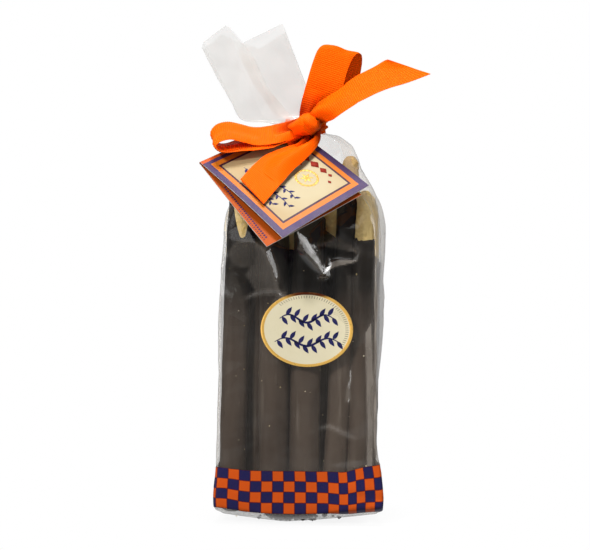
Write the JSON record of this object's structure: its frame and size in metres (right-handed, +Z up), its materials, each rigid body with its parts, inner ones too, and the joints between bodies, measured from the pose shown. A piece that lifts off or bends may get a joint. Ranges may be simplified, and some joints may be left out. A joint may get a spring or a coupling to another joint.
{
  "type": "bag of chocolate coated breadsticks",
  "caption": "Clear block-bottom gift bag standing upright, full of chocolate coated breadsticks, gathered at the neck with a ribbon bow, a folded swing card and an oval label.",
  "frame": {"origin": "centre of the bag's flat underside, on the surface it stands on", "axes": "+Z up along the bag towards the neck, -Y out of the front face that carries the label, +X to the right of that face"},
  "size_m": [0.1416, 0.1122, 0.3042],
  "materials": {
    "film": "clear crisp film, glossy, with a printed check round the foot",
    "ribbon": "ribbed woven ribbon, satin",
    "card": "printed card, satin",
    "label": "printed paper with a gilt rim",
    "chocolate": "dark chocolate coat, satin with a faint bloom",
    "bread": "baked dough, matt",
    "print": "printed film, satin"
  },
  "bodies": {
    "root": {"bag": "film", "ribbon": "ribbon", "tag": "card", "label": "label"}
  },
  "joints": []
}
